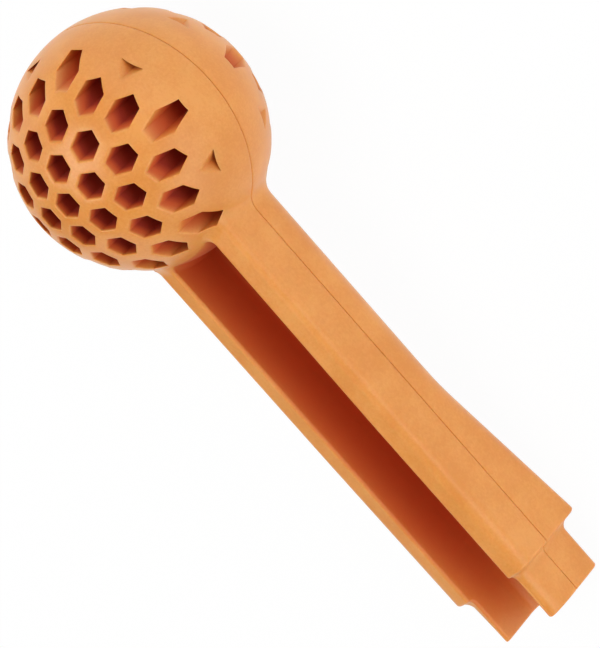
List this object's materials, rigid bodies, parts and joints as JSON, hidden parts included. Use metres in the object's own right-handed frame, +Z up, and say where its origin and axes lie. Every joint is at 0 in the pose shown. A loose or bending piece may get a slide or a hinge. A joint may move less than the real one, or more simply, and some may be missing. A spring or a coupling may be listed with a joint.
{
  "type": "rubber fetch toy",
  "caption": "Moulded rubber fetch toy: a ball with deep hexagonal honeycomb pockets on a trough-shaped handle that ends in a stepped spigot.",
  "frame": {"origin": "centre of the footprint on the surface that the toy lies on", "axes": "+X along the handle towards its stepped free end, +Z up, with the open side of the trough facing up"},
  "size_m": [0.1874, 0.065, 0.065],
  "materials": {
    "rubber": "matte moulded natural rubber"
  },
  "bodies": {
    "root": {"front_half": "rubber", "rear_half": "rubber"}
  },
  "joints": []
}
